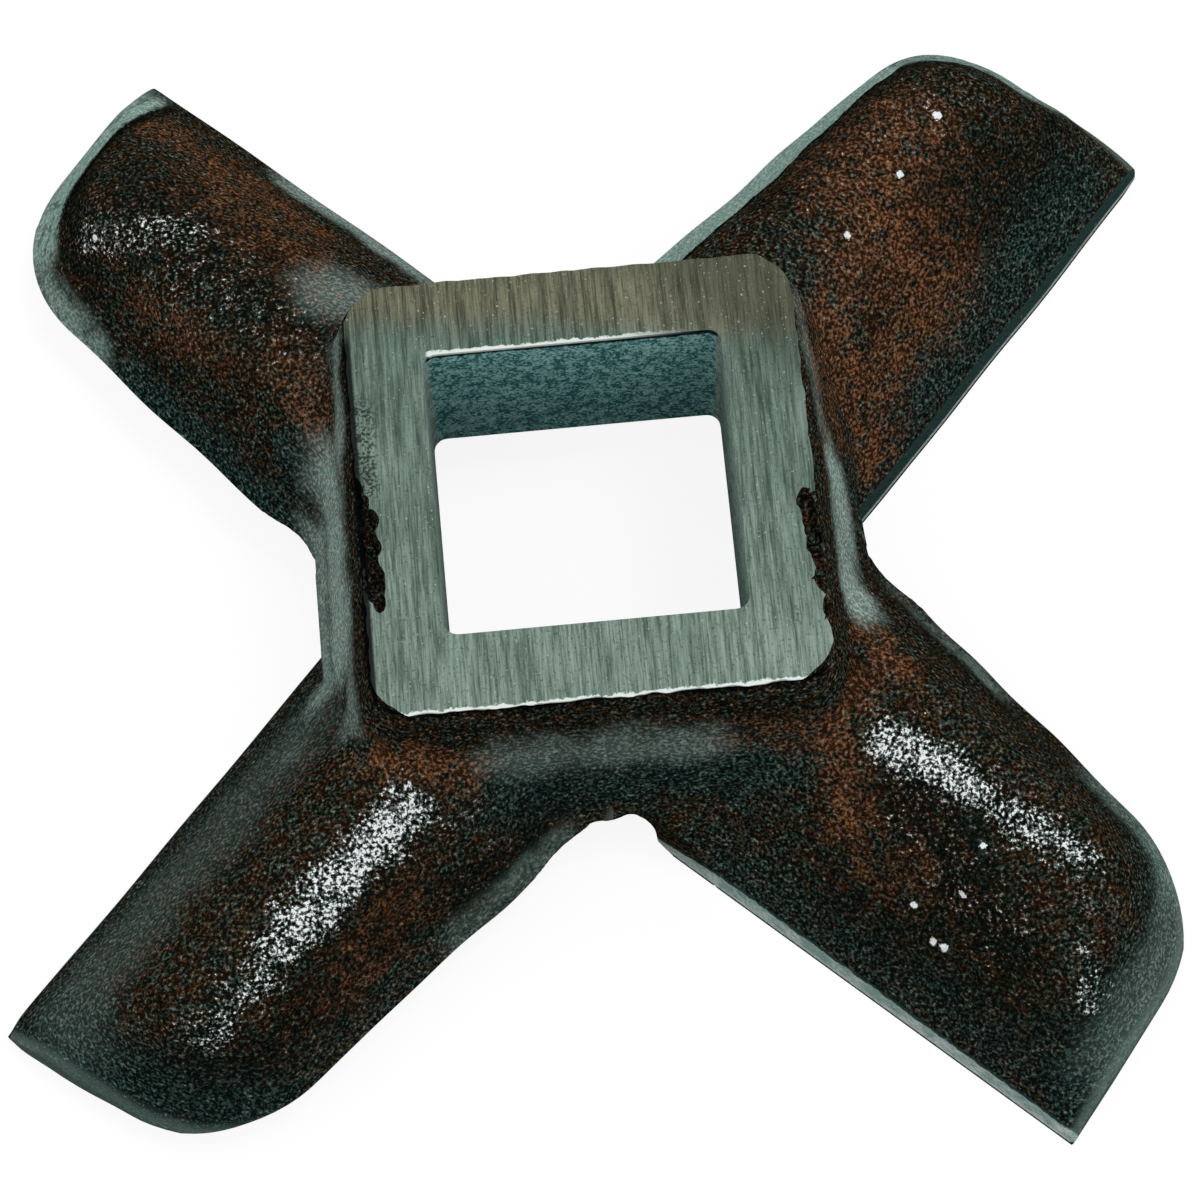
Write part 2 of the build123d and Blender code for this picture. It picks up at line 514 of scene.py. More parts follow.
def calc(tree, way, a, b=0.0, clamp=False):
    """One step of arithmetic on two values."""
    return put(tree, "Math", {0: a, 1: b}, operation=way, use_clamp=clamp)


def times(tree, a, b, clamp=False):
    """Both multiplied."""
    return calc(tree, "MULTIPLY", a, b, clamp)


def plus(tree, a, b):
    """Both added."""
    return calc(tree, "ADD", a, b)


def minus(tree, a, b, clamp=False):
    """The second taken from the first."""
    return calc(tree, "SUBTRACT", a, b, clamp)


def more_of(tree, a, b):
    """The larger one."""
    return calc(tree, "MAXIMUM", a, b)


def between(tree, value, start, end):
    """0 at start and 1 at end, with a soft turn."""
    return put(
        tree, "MapRange", {"Value": value, "From Min": start, "From Max": end}, out="Result",
        interpolation_type="SMOOTHSTEP",
    )


def mix(tree, share, a, b):
    """Colour a where share is 0, colour b where it is 1."""
    return put(tree, "Mix", {0: share, 6: a, 7: b}, out=2, data_type="RGBA")


def noise_at(tree, place, scale, detail, roughness=0.5, out="Fac"):
    """Soft mottling over the surface. A larger scale is finer."""
    values = {"Vector": place, "Scale": scale, "Detail": detail, "Roughness": roughness}
    return put(tree, "TexNoise", values, out=out)


def bumped(tree, shader, height, strength, depth):
    """Fine relief in the surface's shading, its depth in millimetres."""
    values = {"Height": height, "Strength": strength, "Distance": depth * mm}
    tree.links.new(put(tree, "Bump", values, out="Normal"), shader.inputs["Normal"])


def new_group(name, inputs, outputs):
    """An empty node group with these sockets, and its two ends."""
    tree = bpy.data.node_groups.new(name, "ShaderNodeTree")
    for label, kind in inputs:
        tree.interface.new_socket(label, in_out="INPUT", socket_type="NodeSocket" + kind)
    for label, kind in outputs:
        tree.interface.new_socket(label, in_out="OUTPUT", socket_type="NodeSocket" + kind)
    return tree, tree.nodes.new("NodeGroupInput").outputs, tree.nodes.new("NodeGroupOutput").inputs


def use(tree, group, **values):
    """Places a group in a material. Input names are written with underscores."""
    made = tree.nodes.new("ShaderNodeGroup")
    made.node_tree = group
    for label, value in values.items():
        socket = made.inputs[label.replace("_", " ")]
        if isinstance(value, bpy.types.NodeSocket):
            tree.links.new(value, socket)
        else:
            socket.default_value = value
    return made.outputs


def place_group():
    """Place on the knife in millimetres."""
    tree, _, out = new_group("place in mm", [], [("Place", "Vector")])
    spot = put(tree, "TexCoord", out="Object")
    tree.links.new(put(tree, "VectorMath", {0: spot, "Scale": 1 / mm}, operation="SCALE"), out["Place"])
    return tree


def grain_group():
    """The beads that moulding sand leaves: each bead's own value, its round middle, and fine mottling."""
    tree, ins, out = new_group(
        "sand grain",
        [("Place", "Vector"), ("Bead Size", "Float")],
        [("Height", "Float"), ("Bead", "Float"), ("Middle", "Float"), ("Fine", "Float"), ("Hue", "Float")],
    )
    per_mm = calc(tree, "DIVIDE", 1.0, ins["Bead Size"])
    cells = put(tree, "TexVoronoi", {"Vector": ins["Place"], "Scale": per_mm}, out=None)
    fine = noise_at(tree, ins["Place"], scale=6.3, detail=2.0, roughness=0.6, out=None)
    from_middle = {"Value": cells["Distance"], "From Min": 0.5, "From Max": 0.22}
    middle = put(tree, "MapRange", from_middle, out="Result")
    own = put(tree, "SeparateXYZ", {0: cells["Color"]}, out="X")
    hue = put(tree, "SeparateXYZ", {0: fine["Color"]}, out="Y")
    domed = minus(tree, 1.0, cells["Distance"])
    height = times(tree, domed, plus(tree, 0.3, own))
    height = plus(tree, height, times(tree, fine["Fac"], 1.4))
    tree.links.new(height, out["Height"])
    tree.links.new(own, out["Bead"])
    tree.links.new(middle, out["Middle"])
    tree.links.new(fine["Fac"], out["Fine"])
    tree.links.new(hue, out["Hue"])
    return tree


def lines_group():
    """Fine straight marks that grinding leaves, all one way."""
    tree, ins, out = new_group(
        "grinding lines",
        [("Place", "Vector"), ("Across", "Float"), ("Along", "Float")],
        [("Tone", "Float"), ("Height", "Float")],
    )
    parts = put(tree, "SeparateXYZ", {0: ins["Place"]}, out=None)
    x = times(tree, parts["X"], ins["Across"])
    y = times(tree, parts["Y"], ins["Along"])
    spot = put(tree, "CombineXYZ", {"X": x, "Y": y})
    coarse = noise_at(tree, spot, scale=0.35, detail=2.0)
    fine = noise_at(tree, spot, scale=1.0, detail=3.0, roughness=0.7)
    tone_of = plus(tree, times(tree, coarse, 0.4), times(tree, fine, 0.6))
    tree.links.new(between(tree, tone_of, 0.34, 0.66), out["Tone"])
    tree.links.new(fine, out["Height"])
    return tree


group_place = place_group()
group_grain = grain_group()
group_lines = lines_group()


def new_material(name):
    """A new material, its node tree and its shader."""
    material = bpy.data.materials.new(name)
    material.use_nodes = True
    tree = material.node_tree
    return material, tree, tree.nodes["Principled BSDF"]


def mark(tree, name):
    """A mask that the mesh carries."""
    return put(tree, "Attribute", out="Fac", attribute_name=name)


# Where the skin's finish changes, in millimetres: from, to, reach, softness, strength
rust_blooms = [
    ((13.5, 15.5, 8), (17.0, 10.5, 6), 2.6, 2.2, 1.0),
    ((15.0, 18.0, 8), (17.0, 15.0, 8), 1.6, 1.2, 0.8),
    ((11.5, 7.0, 8), (12.5, 11.0, 8), 1.7, 1.5, 0.75),
    ((10.5, 2.5, 9), (10.2, 7.8, 11.0), 0.8, 0.7, 0.95),
    ((12.4, 3.6, 5), (13.0, 5.0, 6), 0.8, 0.7, 0.9),
    ((4.6, 12.5, 4), (8.0, 15.5, 4), 0.9, 0.6, 0.7),
    ((-14.5, 18.5, 7), (-11.0, 12.5, 8), 1.9, 1.8, 0.75),
    ((-18.0, 12.5, 7), (-16.0, 9.5, 8), 1.0, 1.0, 0.65),
    ((-12.3, 9.0, 9), (-11.0, 5.0, 9), 1.1, 1.0, 0.7),
    ((-11.5, -18.5, 6), (-9.0, -16.0, 7), 1.4, 1.2, 0.7),
    ((-10.8, -10.2, 10), (-5.5, -11.2, 9), 0.9, 0.8, 0.8),
    ((10.6, -9.0, 9), (9.9, -11.5, 9), 0.9, 0.8, 0.6),
    ((9.8, -11.0, 8.5), (9.8, -15.8, 6.2), 1.1, 1.0, 0.9),
    ((5.0, -10.8, 9.0), (8.6, -11.0, 9), 1.0, 0.9, 0.55),
    ((11.4, -6.3, 8.7), (12.4, -8.2, 8.8), 0.8, 0.7, 0.9),
    ((11.0, -17.0, 6), (12.2, -16.0, 7), 0.9, 0.7, 0.6),
    ((-11.0, 18.0, 6), (-16.5, 23.0, 5), 1.9, 1.5, 0.9),
    ((11.2, 3.5, 7), (11.0, 8.5, 7.5), 1.0, 0.8, 0.8),
    ((13.2, 4.8, 2.5), (11.5, 8.0, 7.4), 1.6, 1.2, 0.95),
    ((13.5, 6.5, 4.5), (15.5, 9.8, 5.0), 1.7, 1.3, 0.9),
    ((13.5, 4.2, 6), (15.0, 6.0, 6), 1.0, 0.8, 0.6),
]
# Scoured metal, and painted reflection on the boss's side walls where they catch the light at a slant
scoured_and_sheen_zones = [
    ((-11.5, 20.9, 1.5), (-4.2, 14.3, 2.0), 1.1, 0.8, 0.8),
    ((-9.8, 12.0, 8), (-7.0, 11.0, 8), 1.8, 1.4, 0.45),
    ((-4.0, -10.7, 9), (4.0, -10.9, 9), 1.1, 1.0, 0.35),
    ((-12.5, -5.5, 6), (-23.5, -18.0, 4), 2.4, 1.6, 0.13),
    ((24.5, -16.0, 3), (20.5, -24.0, 3), 1.8, 1.4, 0.25),
    ((10.5, 3.0, 10), (10.2, 7.5, 11.5), 0.9, 0.8, 0.30),
    ((-11.0, -4.0, 8), (-11.0, 2.5, 8), 2.0, 1.2, 1.0),
    ((-12.2, -5.0, 5), (-12.2, 1.5, 5), 1.2, 0.9, 0.8),
    ((-10.6, -8.0, 9), (-10.6, -4.0, 9), 0.9, 0.8, 0.5),
    ((11.0, -4.0, 8), (11.0, 1.0, 8), 1.6, 1.0, 0.95),
    ((-10.4, 3.0, 10), (-10.2, 8.0, 11), 0.8, 0.7, 0.6),
    ((-8.5, -8.5, 6), (-13.0, -8.5, 5), 1.2, 1.2, 0.3),
]
teal_zones = [
    ((-20.0, 10.5, 3), (-13.0, 3.0, 3), 1.9, 1.4, 0.9),
    ((-24.0, -19.0, 3), (-17.0, -23.0, 3), 2.6, 2.0, 0.85),
    ((23.0, -15.0, 3), (19.0, -25.0, 3), 2.4, 1.8, 0.9),
    ((24.0, 16.0, 3), (12.0, 2.0, 3), 2.2, 1.6, 0.75),
    ((-4.0, -11.0, 7), (6.0, -11.0, 7), 2.2, 1.6, 0.8),
    ((5.0, -14.0, 2), (18.0, -24.5, 2), 1.6, 1.4, 0.5),
    ((-24.0, -16.0, 3), (-11.0, -5.0, 4), 2.6, 2.5, 0.45),
    ((-14.0, -21.0, 3), (-4.0, -13.0, 3), 1.6, 1.2, 0.35),
    ((12.0, 9.0, 8), (10.0, 11.0, 8), 1.4, 1.2, 0.5),
    ((-10.3, 8.0, 9), (-13.0, 4.0, 6), 0.9, 0.9, 0.7),
]
# Oil on the skin, which also sets where the painted highlights and specks fall
oil_and_glint_strips = [
    ((-8.6, -12.4, 9), (-13.3, -16.6, 8.5), 1.25, 0.9, 1.0),
    ((-13.3, -16.6, 8.5), (-17.6, -20.4, 7), 1.0, 0.8, 0.85),
    ((-6.0, -12.5, 8), (-8.6, -13.2, 8.5), 0.8, 0.7, 0.35),
    ((11.7, -11.3, 9), (15.5, -14.0, 9), 1.2, 0.9, 1.0),
    ((15.5, -14.0, 9), (19.0, -17.0, 8), 1.0, 0.8, 0.85),
    ((19.0, -17.0, 8), (18.9, -22.5, 5), 0.6, 0.6, 0.7),
    ((12.8, -14.5, 8), (15.5, -19.0, 7), 2.4, 1.6, 0.30),
    ((-20.6, 16.3, 7.4), (-16.5, 15.2, 8.2), 1.2, 1.0, 0.62),
    ((-17.0, 13.5, 8.0), (-12.0, 10.5, 9), 2.2, 1.8, 0.38),
    ((12.0, 14.5, 8), (16.5, 18.4, 8.0), 1.5, 1.4, 0.30),
    ((12.0, 11.5, 9), (14.0, 13.0, 8.5), 1.0, 1.0, 0.20),
]
# Dark old oil on the skin, and painted shade on the sides turned away from the light
dark_oil_and_shade_zones = [
    ((12.8, -13.6, 8), (15.0, -20.5, 6), 2.2, 1.6, 0.95),
    ((9.0, -16.5, 4), (17.0, -23.5, 4), 2.2, 1.6, 0.7),
    ((-17.5, 17.0, 8), (-11.5, 11.0, 9), 2.6, 1.8, 0.7),
    ((-21.0, 21.0, 6), (-22.0, 14.5, 6), 1.4, 1.2, 0.9),
    ((18.0, 13.5, 7), (23.5, 17.0, 6), 2.6, 1.8, 0.8),
    ((10.0, 15.5, 8), (16.5, 22.0, 7), 1.8, 1.4, 0.7),
    ((-9.0, -15.5, 7), (-19.0, -24.0, 5), 2.2, 1.8, 0.8),
    ((-6.5, -14.5, 5), (-3.0, -12.5, 5), 1.6, 1.3, 0.8),
    ((-8.0, -10.2, 11), (8.0, -10.2, 11), 0.8, 0.8, 0.3),
    ((16.5, -6.5, 6), (21.5, -12.0, 5), 1.6, 1.4, 0.6),
]
# Painted reflection on the drafted flanks; it also sets how dark the painted shade on the shoulder above them
# is
flank_sheen_and_shade_zones = [
    ((5.0, 13.0, 4), (13.0, 22.5, 4), 3.2, 1.4, 1.9),
    ((16.0, 24.0, 3), (22.0, 22.0, 3), 2.0, 1.2, 0.75),
    ((-24.0, 19.0, 4), (-18.0, 27.0, 4), 2.6, 1.0, 1.0),
    ((-24.5, 16.0, 3), (-22.5, 12.5, 3), 1.8, 1.0, 0.7),
    ((12.0, -4.0, 4), (16.0, -7.5, 4), 1.2, 1.0, 0.35),
    ((22.0, -12.0, 4), (25.0, -17.0, 3), 1.6, 1.2, 0.45),
    ((-7.0, -16.0, 3), (-3.0, -12.5, 4), 1.0, 1.0, 0.3),
]
# Painted reflection on the lower right arm's ground facet
edge_reflections = [
    ((1.0, -11.5, 0), (18.5, -27.5, 0), 2.0, 0.5, 1.0),
]

# Painted glints on single beads: place and radius
glints = [
    ((-15.0, 15.6, 8.0), 0.18), ((-12.5, 13.6, 8.2), 0.15), ((-11.7, 10.3, 9.1), 0.15),
    ((-12.4, 8.9, 9.0), 0.16), ((-20.5, 16.0, 7.4), 0.16), ((17.22, 17.96, 8.08), 0.18),
    ((15.23, 15.14, 8.24), 0.16), ((12.54, 12.23, 8.6), 0.16), ((12.8, -18.9, 4.5), 0.19),
    ((13.3, -19.1, 4.4), 0.23), ((14.11, -17.56, 6.5), 0.17), ((12.17, -17.45, 5.2), 0.16),
    ((15.09, -15.94, 7.9), 0.16),
]


def patches(places, ragged, rows):
    """Soft patches along lines, the strongest one at each point."""
    total = np.zeros(len(places))
    for start, end, reach, soft, strength in rows:
        start, end = np.array(start), np.array(end)
        along = end - start
        share = np.clip((places - start) @ along / (along @ along), 0, 1)
        apart = np.linalg.norm(places - start - share[:, None] * along, axis=1)
        total = np.maximum(total, strength * ramp(-(apart + ragged), -(reach + soft), -(reach - soft)))
    return total


def mark_finishes(piece):
    """Masks and distances that the mesh carries for its finishes."""
    places = read_points(piece)
    ragged = 0.9 * rough(places, size=1.5, seed=31, octaves=3)
    cut, outline = arm_gaps(places)
    marks = {
        "rust": patches(places, ragged, rust_blooms),
        "scoured_and_sheen": patches(places, ragged * 0.6, scoured_and_sheen_zones),
        "teal": patches(places, ragged, teal_zones),
        "oil_and_glints": patches(places, ragged * 0.6, oil_and_glint_strips),
        "black": patches(places, ragged, dark_oil_and_shade_zones),
        "pale": patches(places, ragged * 0.5, flank_sheen_and_shade_zones),
        "edge_reflection": patches(places, 0.0, edge_reflections),
        "cut_gap": cut,
        "outline_gap": outline,
    }
    for name, values in marks.items():
        layer = piece.data.attributes.new(name, "FLOAT", "POINT")
        layer.data.foreach_set("value", values.astype(np.float32))


def burr_and_shade_group():
    """The ragged lip that grinding left on two rims of the boss's face, and painted shadow lines under its
    rims.
    """
    tree, ins, out = new_group("rim burr and painted shade", [("Place", "Vector")], [("Lip", "Float"), ("Dark", "Float")])
    parts = put(tree, "SeparateXYZ", {0: ins["Place"]}, out=None)
    x, y, z = parts["X"], parts["Y"], parts["Z"]
    wave = noise_at(tree, ins["Place"], scale=2.3, detail=3.0, roughness=0.7)
    wave = times(tree, minus(tree, wave, 0.5), 0.5)
    beside = calc(tree, "ABSOLUTE", x)

    # Bright lip: the face's south rim and the hole's north rim
    at_top = between(tree, z, top - 0.20, top - 0.10)
    south = plus(tree, times(tree, y, -1.0), wave)
    south = between(tree, south, face_half + 0.02, face_half + 0.09)
    hole = plus(tree, y, wave)
    hole = times(tree, between(tree, hole, hole_half + 0.17, hole_half + 0.09), at_top)
    hole = times(tree, hole, between(tree, x, 5.5, 1.0))
    hole = times(tree, hole, between(tree, y, hole_half - 0.1, hole_half - 0.05))
    hole = times(tree, hole, between(tree, beside, hole_half - 0.1, hole_half - 0.3))
    lip = more_of(tree, times(tree, south, at_top), hole)
    tree.links.new(times(tree, lip, 0.95), out["Lip"])

    # Painted shadow lines under the rims: on the boss's south wall, the hole's north wall and the boss's west
    # wall
    level = plus(tree, z, wave)
    above = between(tree, level, top - 0.75, top - 0.55)
    under = times(tree, above, between(tree, z, top - 0.18, top - 0.26))
    under = times(tree, under, between(tree, y, -8.8, -9.2))
    above = between(tree, level, top - 0.45, top - 0.3)
    wall = times(tree, above, between(tree, z, top, top - 0.02))
    wall = times(tree, wall, between(tree, y, hole_half - 0.3, hole_half - 0.15))
    wall = times(tree, wall, between(tree, y, hole_half + 0.2, hole_half + 0.1))
    above = between(tree, level, top - 0.95, top - 0.65)
    west = times(tree, above, between(tree, x, -9.27, -9.40))
    west = times(tree, west, between(tree, y, 8.6, 7.0))
    tree.links.new(more_of(tree, more_of(tree, under, wall), west), out["Dark"])
    return tree


group_burr_and_shade = burr_and_shade_group()
skin_lip = "#dfe8e3"
face_lip = "#e3ebe6"


def with_burr_and_shade(tree, place, colour, lip):
    """The colour with the painted shadow lines under the rims and their bright lip over it."""
    burr = use(tree, group_burr_and_shade, Place=place)
    # painted shadow: near black lines under the rims
    colour = mix(tree, times(tree, burr["Dark"], 0.95), colour, tone("#050a0c"))
    return mix(tree, burr["Lip"], colour, tone(lip))


def cast_skin():
    """Old sand-cast iron: nearly black with oil, scoured grey-green in places, rust in blooms, with painted
    shade, reflections and highlights.
    """
    material, tree, shader = new_material("cast skin")
    place = use(tree, group_place)["Place"]
    height_up = put(tree, "SeparateXYZ", {0: place}, out="Z")
    grain = use(tree, group_grain, Place=place, Bead_Size=0.22)
    bead, middle, fine, hue = grain["Bead"], grain["Middle"], grain["Fine"], grain["Hue"]
    cloud = noise_at(tree, place, scale=1.3, detail=3.0, roughness=0.65)
    light = between(tree, fine, 0.44, 0.62)
    bright = between(tree, fine, 0.60, 0.74)

    # Bare skin, partly teal
    brown = between(tree, plus(tree, hue, cloud), 0.88, 1.12)
    dark = mix(tree, brown, tone("#090f0b"), tone("#1a110a"))
    lit = mix(tree, brown, tone("#36443c"), tone("#4a3420"))
    colour = mix(tree, light, dark, lit)
    colour = mix(tree, bright, colour, tone("#77837a"))
    teal = mix(tree, light, tone("#0a1616"), tone("#34534f"))
    teal = mix(tree, bright, teal, tone("#6f8b84"))
    colour = mix(tree, times(tree, mark(tree, "teal"), 0.9), colour, teal)

    # Rust
    spots = plus(tree, times(tree, cloud, 0.9), times(tree, hue, 0.9))
    rusted = times(tree, mark(tree, "rust"), between(tree, spots, 0.70, 0.96))
    rust = mix(tree, light, tone("#301f15"), tone("#83583b"))
    rust = mix(tree, bright, rust, tone("#ae7b53"))
    bright_rust = times(tree, between(tree, bead, 0.80, 0.95), middle)
    rust = mix(tree, times(tree, bright_rust, 0.8), rust, tone("#a8693c"))
    colour = mix(tree, rusted, colour, rust)

    # Old black oil, and painted shade on the sides turned away from the light
    black = times(tree, mark(tree, "black"), between(tree, cloud, 0.70, 0.46))
    colour = mix(tree, times(tree, black, 0.72), colour, tone("#0a0d0a"))

    # Scoured metal, and painted reflection that lightens the boss's side walls
    pale = mix(tree, light, tone("#7a978f"), tone("#c2d6cf"))
    pale = mix(tree, bright, pale, tone("#b9c9c2"))
    pale = mix(tree, times(tree, between(tree, hue, 0.52, 0.62), 0.45), pale, tone("#74614a"))
    colour = mix(tree, times(tree, mark(tree, "scoured_and_sheen"), 0.9), colour, pale)

    # Flanks: painted shade along the shoulder, a painted reflection on the flank below it, and a thin painted
    # reflection along the outline
    ragged = times(tree, minus(tree, fine, 0.5), 0.9)
    inward = calc(tree, "DIVIDE", mark(tree, "outline_gap"), more_of(tree, mark(tree, "pale"), 1.0))
    inward = plus(tree, inward, ragged)
    on_flank = between(tree, inward, 1.75, 1.50)
    shoulder = times(tree, between(tree, inward, 1.55, 1.75), between(tree, inward, 2.9, 2.2))
    shade = plus(tree, 0.15, times(tree, mark(tree, "pale"), 0.75))
    shoulder = times(tree, shoulder, shade, clamp=True)
    # painted shade: near black along the shoulder above each flank
    colour = mix(tree, shoulder, colour, tone("#060a08"))
    flank_tone = mix(tree, light, tone("#78978e"), tone("#b0c9be"))
    clouded = plus(tree, 0.45, between(tree, cloud, 0.36, 0.56))
    on_flank = times(tree, on_flank, clouded, clamp=True)
    on_flank = times(tree, mark(tree, "pale"), on_flank, clamp=True)
    # painted reflection: pale teal on the steep flanks that face sideways
    colour = mix(tree, on_flank, colour, flank_tone)
    rim = between(tree, plus(tree, mark(tree, "outline_gap"), ragged), 0.50, 0.15)
    # painted reflection: a thin pale line along the arm's outline
    colour = mix(tree, times(tree, rim, 0.38), colour, tone("#7c958e"))

    # The ground facet at the cutting edge, with a painted reflection across the lower right arm's facet
    along_edge = between(tree, mark(tree, "cut_gap"), facet_run + 0.06, facet_run)
    facet = times(tree, along_edge, between(tree, height_up, 1.15, 1.0))
    strip = plus(tree, height_up, times(tree, minus(tree, cloud, 0.5), 0.5))
    strip = times(tree, between(tree, strip, 0.86, 0.76), between(tree, height_up, 0.06, 0.14))
    facet_reflection = mix(tree, between(tree, cloud, 0.35, 0.65), tone("#8aa5a0"), tone("#bccbc6"))
    # painted reflection: the lower right arm's facet pale where it catches the light
    ground = mix(tree, times(tree, strip, mark(tree, "edge_reflection")), tone("#2b403e"), facet_reflection)
    thin = times(tree, between(tree, height_up, 0.10, 0.14), between(tree, height_up, 0.30, 0.24))
    ground = mix(tree, times(tree, thin, 0.6), ground, tone("#c5d3cd"))
    ground = mix(tree, between(tree, height_up, 0.10, 0.04), ground, tone("#0a100f"))
    colour = mix(tree, facet, colour, ground)

    # Painted highlights: white specks where oil would shine, a grey painted sheen around them, and painted
    # glints on single beads
    glint_threshold = minus(tree, 0.79, times(tree, mark(tree, "oil_and_glints"), 0.27))
    sheen = plus(tree, fine, times(tree, minus(tree, cloud, 0.5), 0.3))
    sheen = minus(tree, sheen, glint_threshold)
    around = times(tree, between(tree, sheen, -0.12, 0.0), 0.85)
    # painted sheen: a grey haze around the specks
    colour = mix(tree, around, colour, tone("#74817d"))
    glinting = between(tree, mark(tree, "oil_and_glints"), 0.02, 0.12)
    shining = times(tree, between(tree, sheen, -0.01, 0.07), glinting)
    varied = plus(tree, 0.8, between(tree, hue, 0.35, 0.6))
    shining = times(tree, shining, varied, clamp=True)
    for spot, radius in glints:
        apart = put(tree, "VectorMath", {0: place, 1: spot}, out="Value", operation="DISTANCE")
        apart = plus(tree, apart, times(tree, ragged, 0.35))
        shining = more_of(tree, shining, between(tree, apart, radius * 1.15, radius * 0.8))
    # painted highlights: near white specks and glints
    colour = mix(tree, shining, colour, tone("#f0f6f7"))

    colour = with_burr_and_shade(tree, place, colour, skin_lip)
    tree.links.new(colour, shader.inputs["Base Color"])

    # Rust is dull, and oil and specks are smoother
    wet = times(tree, mark(tree, "oil_and_glints"), 0.25)
    roughness = minus(tree, plus(tree, 0.5, times(tree, rusted, 0.3)), wet)
    roughness = minus(tree, roughness, times(tree, shining, 0.15), clamp=True)
    tree.links.new(roughness, shader.inputs["Roughness"])
    shader.inputs["Specular IOR Level"].default_value = 0.0
    bumped(tree, shader, grain["Height"], strength=1.0, depth=0.06)
    return material


def ground_face():
    """The boss's ground face: grey-green iron with fine lines, brown along one side, bright at two rims."""
    material, tree, shader = new_material("ground face")
    place = use(tree, group_place)["Place"]
    parts = put(tree, "SeparateXYZ", {0: place}, out=None)
    lines = use(tree, group_lines, Place=place, Across=11.0, Along=0.55)
    cloud = noise_at(tree, place, scale=0.35, detail=3.0)
    fleck = noise_at(tree, place, scale=7.5, detail=2.0, out=None)
    level = plus(tree, times(tree, parts["Y"], -0.022), times(tree, cloud, 0.6))
    dark = mix(tree, between(tree, level, 0.05, 0.65), tone("#33453b"), tone("#4c5f54"))
    light = mix(tree, between(tree, level, 0.05, 0.65), tone("#71867b"), tone("#97aa9e"))
    colour = mix(tree, lines["Tone"], dark, light)
    brown = plus(tree, parts["Y"], times(tree, parts["X"], 0.12))
    brown = between(tree, plus(tree, brown, times(tree, cloud, 1.5)), 6.7, 8.6)
    stained = mix(tree, lines["Tone"], tone("#3c3a28"), tone("#827c64"))
    colour = mix(tree, times(tree, brown, 0.8), colour, stained)
    corner = plus(tree, parts["X"], parts["Y"])
    corner = times(tree, between(tree, corner, 10.5, 15.0), 0.5)
    colour = mix(tree, corner, colour, tone("#353c2c"))
    pale_flecks = times(tree, between(tree, fleck["Fac"], 0.66, 0.76), 0.7)
    colour = mix(tree, pale_flecks, colour, tone("#b4c4ba"))
    hue = put(tree, "SeparateXYZ", {0: fleck["Color"]}, out="Y")
    dark_flecks = times(tree, between(tree, hue, 0.56, 0.70), 0.5)
    colour = mix(tree, dark_flecks, colour, tone("#2f3e36"))
    beside_void = between(tree, parts["X"], -8.2, -8.9)
    beside_void = times(tree, beside_void, between(tree, parts["Y"], 5.2, 4.0))
    beside_void = times(tree, beside_void, between(tree, parts["Y"], -0.5, 0.5))
    crumbs = times(tree, beside_void, between(tree, fleck["Fac"], 0.50, 0.56))
    colour = mix(tree, times(tree, crumbs, 0.85), colour, tone("#141c1a"))
    colour = with_burr_and_shade(tree, place, colour, face_lip)
    tree.links.new(colour, shader.inputs["Base Color"])
    shader.inputs["Metallic"].default_value = 0.1
    shader.inputs["Roughness"].default_value = 0.5
    shader.inputs["Specular IOR Level"].default_value = 0.12
    bumped(tree, shader, lines["Height"], strength=0.6, depth=0.02)
    return material


def hole_wall():
    """The hole's cast walls: teal with a sandy grain, with painted light making the two side walls greyer and
    paler.
    """
    material, tree, shader = new_material("hole wall")
    place = use(tree, group_place)["Place"]
    beside = calc(tree, "ABSOLUTE", put(tree, "SeparateXYZ", {0: place}, out="X"))
    grain = use(tree, group_grain, Place=place, Bead_Size=0.3)
    cloud = noise_at(tree, place, scale=2.0, detail=4.0, roughness=0.75)
    light = between(tree, plus(tree, grain["Fine"], cloud), 0.88, 1.14)
    colour = mix(tree, light, tone("#32696d"), tone("#a2d0cb"))
    blue = between(tree, grain["Hue"], 0.5, 0.62)
    colour = mix(tree, times(tree, blue, 0.5), colour, tone("#35757e"))
    colour = mix(tree, between(tree, grain["Fine"], 0.68, 0.76), colour, tone("#a9c4bf"))
    side = mix(tree, light, tone("#6c857d"), tone("#a3b3aa"))
    # painted light: the two side walls greyer and paler
    colour = mix(tree, between(tree, beside, hole_half - 0.35, hole_half - 0.1), colour, side)
    colour = with_burr_and_shade(tree, place, colour, skin_lip)
    tree.links.new(colour, shader.inputs["Base Color"])
    shader.inputs["Roughness"].default_value = 0.5
    shader.inputs["Specular IOR Level"].default_value = 0.0
    bumped(tree, shader, grain["Height"], strength=0.8, depth=0.05)
    return material


def ground_land():
    """The lands under the cutting edges: bare pale iron with fine lines."""
    material, tree, shader = new_material("ground land")
    place = use(tree, group_place)["Place"]
    lines = use(tree, group_lines, Place=place, Across=7.0, Along=0.5)
    colour = mix(tree, lines["Tone"], tone("#5d736f"), tone("#9db1ab"))
    tree.links.new(colour, shader.inputs["Base Color"])
    shader.inputs["Metallic"].default_value = 0.3
    shader.inputs["Roughness"].default_value = 0.4
    bumped(tree, shader, lines["Height"], strength=0.5, depth=0.02)
    return material


def face_values(piece, what):
    """The middle or the normal of each face of the mesh."""
    flat = np.empty(len(piece.data.polygons) * 3)
    piece.data.polygons.foreach_get(what, flat)
    return flat.reshape(-1, 3)


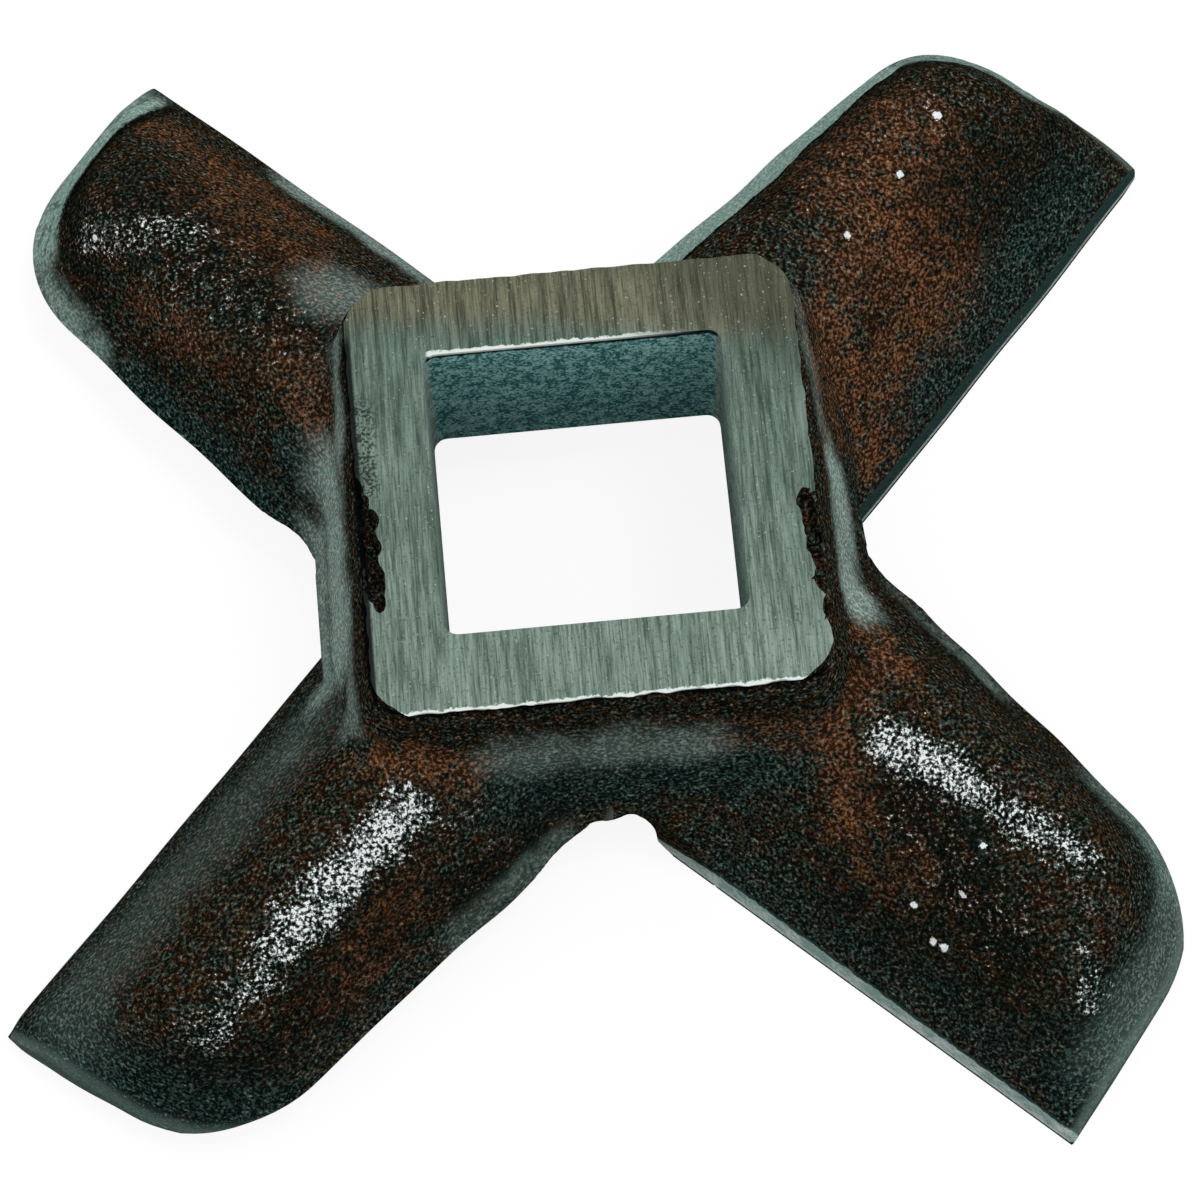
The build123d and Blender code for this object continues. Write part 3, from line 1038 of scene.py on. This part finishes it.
def give_finishes(piece):
    """Each region of the casting gets its finish, by its faces' place and normal."""
    piece.data.materials.clear()
    for material in (cast_skin(), ground_face(), hole_wall(), ground_land()):
        piece.data.materials.append(material)
    centre, out = face_values(piece, "center") / mm, face_values(piece, "normal")
    z, upward = centre[:, 2], out[:, 2]
    at_face, at_hole, at_land = top - 0.06, hole_half + 0.03, 0.03
    index = np.full(len(centre), skin_slot)
    index[(z > at_face) & (upward > 0.7)] = face_slot
    index[(square_reach(centre) < at_hole) & (np.abs(upward) < 0.6)] = wall_slot
    index[(z < at_land) & (upward < -0.8)] = land_slot
    piece.data.polygons.foreach_set("material_index", index)
    piece.data.update()


# Camera as fitted to the picture: degrees round, up and rolled, and the distance in millimetres
camera_turn = -2.21
camera_height = 68.93
camera_roll = -3.2
camera_distance = 188.9
camera_aim = (0.35, -0.45, 0.0)
camera_lens = 127.12
camera_sensor = 36.0
nearest_seen = 0.01

# Light: the world's strength, and one round lamp in metres and watts
world_strength = 0.78
lamp_place = (0.19, 0.02, 0.57)
lamp_size = 0.2
lamp_power = 0.85

# Floor: its side in metres, the grey that takes the shadow, and the brightness that the camera sees
floor_side = 4.0
floor_grey = 0.14
floor_brightness = 0.89
white = (1, 1, 1, 1)


def camera_at_photo():
    """The camera where the picture was taken from: high above the knife and close to it."""
    turn, height = math.radians(camera_turn), math.radians(camera_height)
    aim = Vector(camera_aim) * mm
    distance = camera_distance * mm
    back = Vector((math.sin(turn) * math.cos(height), -math.cos(turn) * math.cos(height), math.sin(height)))
    data = bpy.data.cameras.new("camera")
    camera = bpy.data.objects.new("camera", data)
    bpy.context.scene.collection.objects.link(camera)
    camera.location = aim + back * distance
    level = (-back).to_track_quat("-Z", "Y").to_matrix()
    camera.rotation_mode = "QUATERNION"
    rolled = level @ Matrix.Rotation(math.radians(camera_roll), 3, "Z")
    camera.rotation_quaternion = rolled.to_quaternion()
    data.sensor_width = camera_sensor
    data.lens = camera_lens
    data.clip_start = nearest_seen
    bpy.context.scene.camera = camera


def overhead_lamp():
    """One round lamp above the knife, turned towards it."""
    data = bpy.data.lights.new("overhead", "AREA")
    data.shape = "DISK"
    data.size = lamp_size
    data.energy = lamp_power
    lamp = bpy.data.objects.new("overhead", data)
    bpy.context.scene.collection.objects.link(lamp)
    lamp.location = lamp_place
    lamp.rotation_euler = (-Vector(lamp_place)).to_track_quat("-Z", "Y").to_euler()


def studio():
    """Even white surroundings and the lamp."""
    scene = bpy.context.scene
    scene.view_settings.view_transform = "Standard"
    world = bpy.data.worlds.new("studio")
    scene.world = world
    world.use_nodes = True
    tree = world.node_tree
    light = tree.nodes["Background"]
    light.inputs["Color"].default_value = white
    light.inputs["Strength"].default_value = world_strength
    overhead_lamp()


def pale_floor():
    """A white floor that keeps the knife's shadow."""
    bpy.ops.object.select_all(action="DESELECT")
    bpy.ops.mesh.primitive_plane_add(size=floor_side, location=(0, 0, 0))
    floor = bpy.context.object
    floor.name = "floor"
    material, tree, shader = new_material("pale floor")
    shader.inputs["Base Color"].default_value = (floor_grey, floor_grey, floor_grey, 1)
    path = tree.nodes.new("ShaderNodeLightPath")
    seen = more_of(tree, path.outputs["Is Camera Ray"], path.outputs["Is Glossy Ray"])
    tree.links.new(times(tree, seen, floor_brightness), shader.inputs["Emission Strength"])
    shader.inputs["Emission Color"].default_value = white
    shader.inputs["Specular IOR Level"].default_value = 0.0
    floor.data.materials.append(material)


casting = knife_casting()
mark_finishes(casting)
give_finishes(casting)
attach(casting, "root")
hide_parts(node_name)
camera_at_photo()
studio()
pale_floor()
